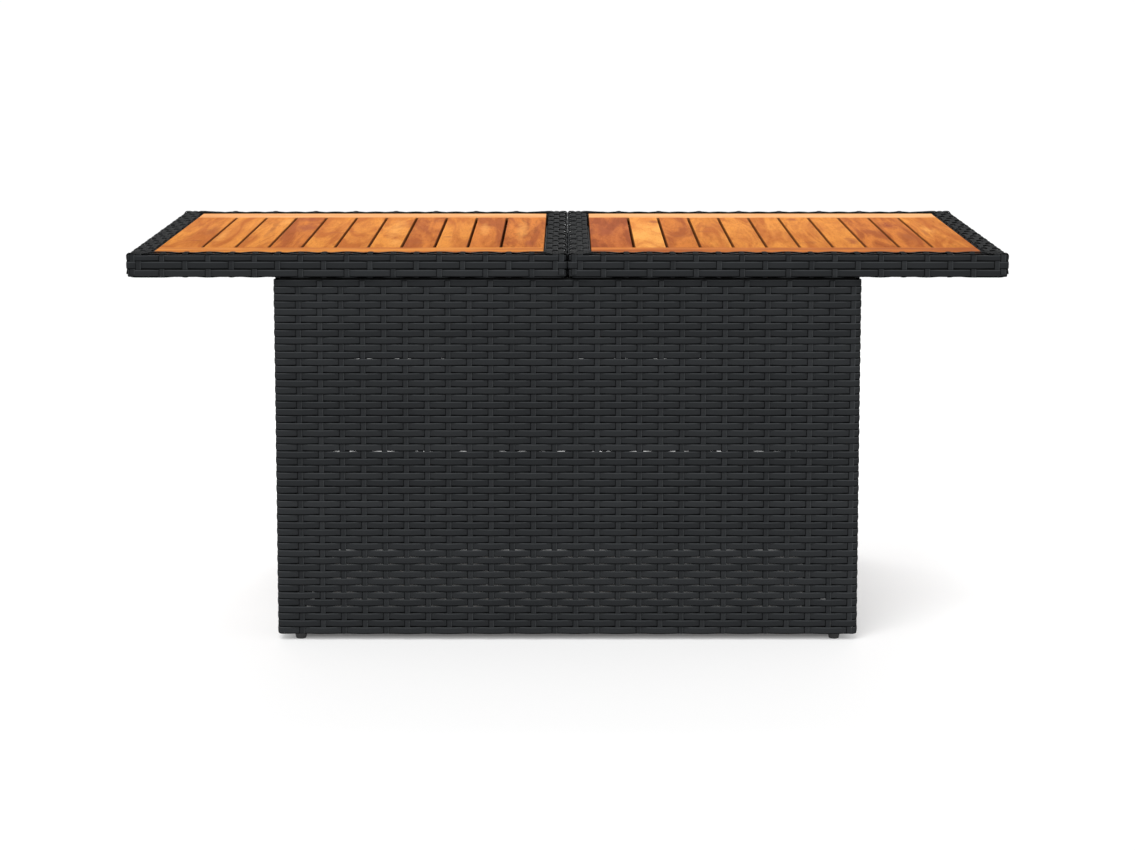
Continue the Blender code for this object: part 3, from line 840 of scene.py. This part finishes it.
    def build_wraps(self):
        strands = StrandMesh()
        depth = RIM_SKIN_DEPTH
        loop = Loop(RIM_WIDTH / 2 - depth, self.size.z / 2 - depth, RIM_EDGE_RADIUS - depth)
        start = loop.place(1, self.shelf[1] + SHELF_MARGIN - self.low.z - depth)
        end = loop.length + loop.place(1, self.shelf[0] - SHELF_MARGIN - self.low.z - depth)
        extra = np.concatenate((loop.arc_stations(), loop.arc_stations() + loop.length))
        for side in range(4):
            for index, distance in enumerate(crossings(self.side_length(side))):
                if not is_wrap(index):
                    continue
                knots, signs = self.wrap_crossings(loop, index)
                stations = make_stations(start, end, knots, extra, RIM_WRAP_STEP)
                path, normal = self.wrap_path(loop, stations, knots, signs)
                self.add_wrap(strands, side, distance, path, normal)
        return strands.build(f"{self.half}_rim_wraps", self.material)

    def wrap_path(self, loop, stations, knots, signs):
        """A wrap's path round the rim's section, raised where it passes over the outermost lane."""
        path, normal = loop.at(stations)
        swing = weave_offset(stations, knots, signs)
        path = path + normal * (RIM_SWING * swing)[:, None]
        inset = path[:, 0] + RIM_WIDTH / 2
        lift = np.where(inset < sum(RIM_TOP_INSETS[:2]) / 2, RIM_WRAP_LIFT, 0.0)
        path[:, 1] += lift * np.maximum(swing, 0) * np.maximum(normal[:, 1], 0)
        on_top = path[:, 1] > loop.half_b - 2 * RIM_EDGE_RADIUS
        path[:, 1] -= np.where(on_top, edge_drop(inset), 0.0)
        return path, normal

    def wrap_crossings(self, loop, index):
        """Crossings of a wrap with the twelve lengthwise rows of the rim's section."""
        depth = RIM_SKIN_DEPTH
        height = self.size.z - 2 * depth
        width = RIM_WIDTH - 2 * depth
        found = []
        for row, level in enumerate(self.face_levels()):
            found.append((loop.place(3, height - (level - self.low.z - depth)), row))
        for lane, inset in enumerate(RIM_TOP_INSETS):
            found.append((loop.length + loop.place(0, inset - depth), 3 + lane))
            found.append((loop.place(2, width - (inset - depth)), 11 - lane))
        for lane, level in enumerate(self.inner_levels()):
            turn = loop.length if lane == 0 else 0.0
            found.append((turn + loop.place(1, level - self.low.z - depth), 6 + lane))
        found.sort()
        return np.array([knot for knot, _ in found]), np.array([-over(row, index) for _, row in found])

    def add_wrap(self, strands, side, distance, path, normal):
        """Puts a wrap's section path across one side of the rim, at a distance along it."""
        angle = side * math.pi / 2
        along = np.array([math.cos(angle), math.sin(angle), 0.0])
        inward = np.array([-math.sin(angle), math.cos(angle), 0.0])
        run = distance - self.side_length(side) / 2
        reach = self.side_length(side + 1) / 2 - RIM_WIDTH / 2
        middle = np.array(self.centre) + along * run - inward * reach
        centre = middle + inward * path[:, :1] + UP * path[:, 1:]
        facing = inward * normal[:, :1] + UP * normal[:, 1:]
        strands.add(centre, along, facing, RIM_WRAP_WIDTH, self.random.uniform())


# ---------------------------------------------------------------- boards

def slat_outline(low, high):
    """Slat from its side, in Y and Z: a board with a tongue at each end."""
    middle = (low.z + high.z) / 2
    body = (high.y - low.y) / 2 - TONGUE_LENGTH
    tip = (high.y - low.y) / 2
    centre = (low.y + high.y) / 2
    half = [(body, low.z), (body, middle - TONGUE_HALF), (tip, middle - TONGUE_HALF)]
    half += [(tip, middle + TONGUE_HALF), (body, middle + TONGUE_HALF), (body, high.z)]
    mirrored = [(-y, z) for y, z in reversed(half)]
    return [(centre + y, z) for y, z in half + mirrored]


def rail_outline(low, high):
    """End board in Y and Z, grooved along the edge that faces the slats."""
    middle = (low.z + high.z) / 2
    inner, outer = (high.y, low.y) if high.y < 0 else (low.y, high.y)
    back = inner + GROOVE_DEPTH * (1 if outer > inner else -1)
    outline = [(outer, low.z), (outer, high.z), (inner, high.z), (inner, middle + GROOVE_HALF)]
    outline += [(back, middle + GROOVE_HALF), (back, middle - GROOVE_HALF)]
    outline += [(inner, middle - GROOVE_HALF), (inner, low.z)]
    return outline


def lies_level(edge, height):
    return all(abs(vert.co.z - height) < MM / 100 for vert in edge.verts)


def build_board(node, outline_of, material):
    """A board with softly rounded arrises in place of its CAD node."""
    low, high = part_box(node)
    outline = outline_of(low, high)
    body = bmesh.new()
    near = [body.verts.new((low.x + BOARD_TRIM, y, z)) for y, z in outline]
    far = [body.verts.new((high.x - BOARD_TRIM, y, z)) for y, z in outline]
    body.faces.new(near)
    body.faces.new(far)
    for i in range(len(outline)):
        j = (i + 1) % len(outline)
        body.faces.new((near[i], near[j], far[j], far[i]))
    bmesh.ops.recalc_face_normals(body, faces=body.faces)
    arrises = [edge for edge in body.edges if lies_level(edge, low.z) or lies_level(edge, high.z)]
    bmesh.ops.bevel(body, geom=arrises, offset=BOARD_EDGE, segments=3, profile=0.5, affect="EDGES")
    mesh = bpy.data.meshes.new(node + "_board")
    body.to_mesh(mesh)
    body.free()
    mesh.shade_smooth()
    mesh.set_sharp_from_angle(angle=SHARP_ANGLE)
    mesh.materials.append(material)
    board = bpy.data.objects.new(node + "_board", mesh)
    bpy.context.scene.collection.objects.link(board)
    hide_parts(node)
    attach(board, "table")
    return board


# Each board's tone, how strong its dark grain lines are, and its marks: kind, place from the
# board's middle and reach, as (x, y) in millimetres. Slats run left to right across each half.
BOARD_LOOKS = {
    "left": {
        "stile_outer": ("golden", 0.40, [("streak", (14, 10), (9, 65)), ("streak", (8, -100), (13, 9))]),
        "slat_1": ("golden", 0.20, [("pale", (-12, -60), (7, 90))]),
        "slat_2": ("golden", 0.45, [("streak", (3, 20), (4, 130)), ("pale", (11, 120), (9, 60))]),
        "slat_3": ("amber", 0.40, [("stain", (6, 45), (17, 55)), ("stain", (0, 150), (20, 32))]),
        "slat_4": ("golden", 0.30, [("streak", (10, -10), (14, 7))]),
        "slat_5": ("golden", 0.30, [("streak", (-11, 0), (11, 7))]),
        "slat_6": ("golden", 0.25, [("pale", (2, 30), (14, 130)), ("pale", (9, -120), (9, 50))]),
        "slat_7": ("amber", 0.35, [("streak", (10, 130), (11, 8)), ("streak", (0, -125), (13, 10))]),
        "slat_8": ("golden", 0.30, [("streak", (-8, -60), (7, 10))]),
        "slat_9": ("amber", 0.35, [("pale", (-5, 30), (8, 80))]),
        "stile_inner": ("amber", 0.75, [("pale", (-4, 20), (9, 130)), ("stain", (8, -130), (8, 45))]),
        "rail_board_front": ("golden", 0.30, []),
        # Back rail: paler wood and a painted reflection
        "rail_board_back": ("pale_and_sheen", 0.25, []),
    },
    "right": {
        "stile_inner": ("red", 0.40, [("stain", (-5, 0), (15, 60))]),
        "slat_1": ("pale", 0.12, [("stain", (13, 120), (8, 25))]),
        "slat_2": ("amber", 0.30, [("streak", (0, -50), (13, 22))]),
        "slat_3": ("golden", 0.45, [("streak", (-5, 0), (13, 13)), ("streak", (0, 55), (11, 6))]),
        "slat_4": ("golden", 0.30, []),
        "slat_5": ("golden", 0.35, []),
        "slat_6": ("golden", 0.40, [("stain", (-4, 145), (11, 22)), ("streak", (-4, -120), (13, 16))]),
        "slat_7": ("golden", 0.30, [("stain", (9, -105), (9, 45))]),
        "slat_8": ("amber", 0.35, []),
        "slat_9": ("amber", 0.30, [("knot", (-4, 75), (15, 48)), ("streak", (5, -60), (13, 55))]),
        "stile_outer": ("golden", 0.50, [("pale", (-8, 20), (9, 55)), ("streak", (-14, -20), (4, 65))]),
        "rail_board_front": ("amber", 0.25, []),
        # Back rail: paler wood and a painted reflection
        "rail_board_back": ("pale_and_sheen", 0.12, []),
    },
}


def build_boards():
    seed = 1
    for half, looks in BOARD_LOOKS.items():
        for part, (tone, streaks, marks) in looks.items():
            node = f"{half}_{part}"
            is_rail = part.startswith("rail")
            placed = place_marks(node, marks)
            material = make_wood_material(node, tone, seed, is_rail, streaks, placed)
            board = build_board(node, rail_outline if is_rail else slat_outline, material)
            seed += 1


def place_marks(node, marks):
    """A board's marks with their centres in the table's frame, in metres."""
    low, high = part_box(node)
    middle = (low + high) / 2
    placed = []
    for kind, (x, y), (reach_x, reach_y) in marks:
        centre = (middle.x + x * MM, middle.y + y * MM)
        placed.append((kind, centre, (reach_x * MM, reach_y * MM)))
    return placed


def frame_slot(node):
    """The material slot that the record gives a node."""
    return next(part["material_slot"] for part in frame["record"]["subparts"] if part["node"] == node)


# ---------------------------------------------------------------- kept CAD nodes

def finish_cad_nodes():
    looks = {
        "coated_steel": make_coated_steel(),
        "foot_plastic": make_foot_plastic(),
        "zinc_plate": make_zinc(),
    }
    for name, obj in frame["nodes"].items():
        material = looks.get(frame_slot(name))
        if material is None or obj.hide_render:
            continue
        for slot in obj.material_slots:
            slot.material = material


# ---------------------------------------------------------------- studio

def build_floor():
    bpy.ops.mesh.primitive_plane_add(size=FLOOR_SIZE, location=(0.0, 0.0, 0.0))
    floor = bpy.context.object
    floor.name = "studio_floor"
    floor.data.materials.append(make_floor_material())


def add_area_light(name, location, target, size, power):
    light = bpy.data.lights.new(name, "AREA")
    light.shape = "RECTANGLE"
    light.size, light.size_y = size
    light.energy = power
    lamp = bpy.data.objects.new(name, light)
    lamp.location = location
    aim = Vector(target) - Vector(location)
    lamp.rotation_euler = aim.to_track_quat("-Z", "Y").to_euler()
    bpy.context.scene.collection.objects.link(lamp)


def add_sun(name, direction, strength, softness):
    """Soft light from one direction, the same everywhere on the floor. softness is in radians."""
    light = bpy.data.lights.new(name, "SUN")
    light.energy = strength
    light.angle = softness
    lamp = bpy.data.objects.new(name, light)
    lamp.rotation_euler = Vector(direction).to_track_quat("Z", "Y").to_euler()
    bpy.context.scene.collection.objects.link(lamp)


def build_sky():
    """White at the horizon, where it meets the floor, and dimmer overhead."""
    world = bpy.data.worlds.new("studio")
    world.use_nodes = True
    nodes, links = world.node_tree.nodes, world.node_tree.links
    coordinates = nodes.new("ShaderNodeTexCoord")
    split = nodes.new("ShaderNodeSeparateXYZ")
    ramp = nodes.new("ShaderNodeValToRGB")
    links.new(coordinates.outputs["Generated"], split.inputs[0])
    links.new(split.outputs["Z"], ramp.inputs[0])
    links.new(ramp.outputs[0], nodes["Background"].inputs["Color"])
    ramp.color_ramp.elements.new(0.5)
    for element, (height, brightness) in zip(ramp.color_ramp.elements, SKY_LEVELS):
        element.position = height
        element.color = grey(brightness)
    nodes["Background"].inputs["Strength"].default_value = 1.0
    bpy.context.scene.world = world


def light_studio():
    build_sky()
    add_sun("key", KEY_FROM, KEY_STRENGTH, KEY_SOFTNESS)
    add_area_light("back_light", BACK_LIGHT_PLACE, BACK_LIGHT_TARGET, BACK_LIGHT_SIZE, BACK_LIGHT_POWER)
    bpy.context.scene.view_settings.view_transform = "Standard"


def add_camera():
    camera = bpy.data.cameras.new("camera")
    camera.lens = CAMERA_LENS
    camera.sensor_width = CAMERA_SENSOR
    camera.shift_y = CAMERA_SHIFT
    camera.clip_end = CAMERA_REACH
    obj = bpy.data.objects.new("camera", camera)
    obj.location = CAMERA_PLACE
    obj.rotation_euler = (CAMERA_TILT, 0.0, 0.0)
    bpy.context.scene.collection.objects.link(obj)
    bpy.context.scene.camera = obj


def main():
    random = np.random.RandomState(STRAND_SEED)
    weave = make_weave_material()
    build_base_skin(weave, random)
    for half in HALVES:
        Rim(half, weave, random).build()
    build_boards()
    finish_cad_nodes()
    build_floor()
    light_studio()
    add_camera()


main()
